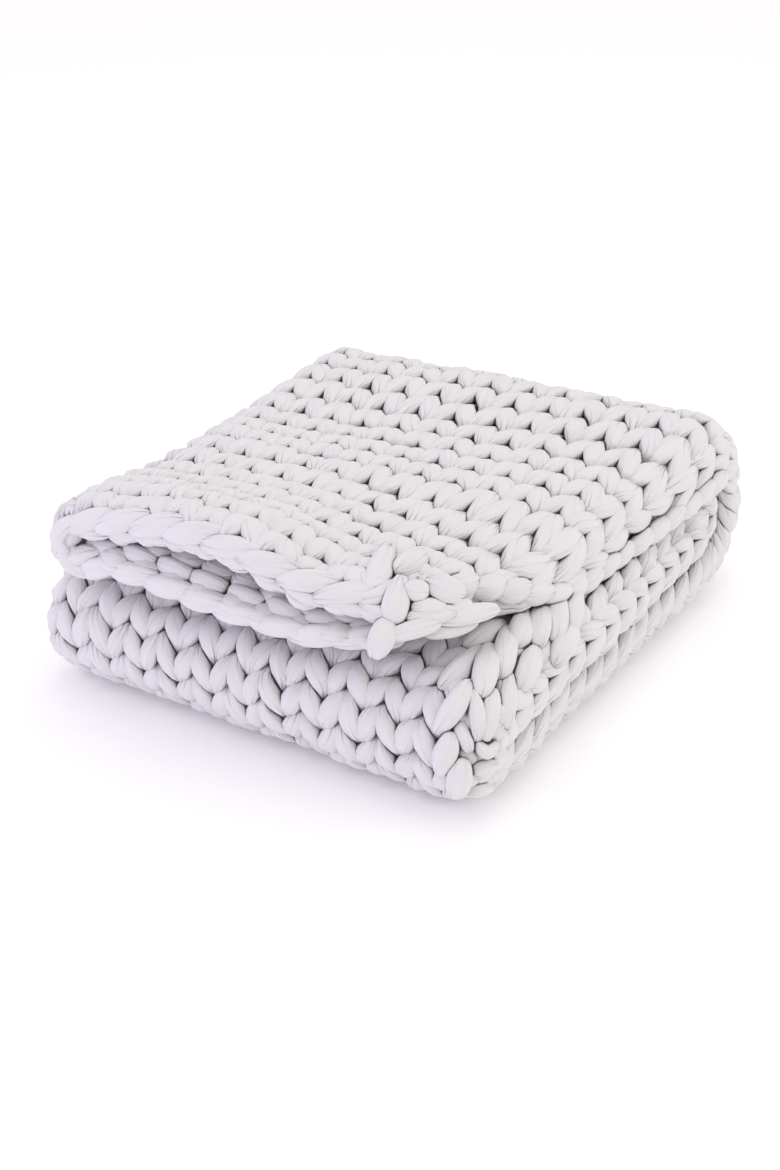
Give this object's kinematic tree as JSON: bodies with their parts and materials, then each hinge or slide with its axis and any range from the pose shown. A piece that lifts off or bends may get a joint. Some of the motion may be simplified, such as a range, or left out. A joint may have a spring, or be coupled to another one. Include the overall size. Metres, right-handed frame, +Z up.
{
  "type": "folded chunky-knit weighted blanket",
  "caption": "Knit weighted blanket of fat cotton tube yarn, folded lengthwise and then in thirds, with a gaping hemmed flap on top.",
  "frame": {"origin": "middle of the folded blanket's box, on the surface it lies on", "axes": "+Z up; +Y from the flap's hems towards the back fold; +X from the doubled side towards the selvedges"},
  "size_m": [0.5322, 0.6376, 0.2344],
  "materials": {
    "cotton_jersey": "matt jersey tube yarn, near white with a cool grey tint"
  },
  "bodies": {
    "root": {"blanket": "cotton_jersey"}
  },
  "joints": []
}
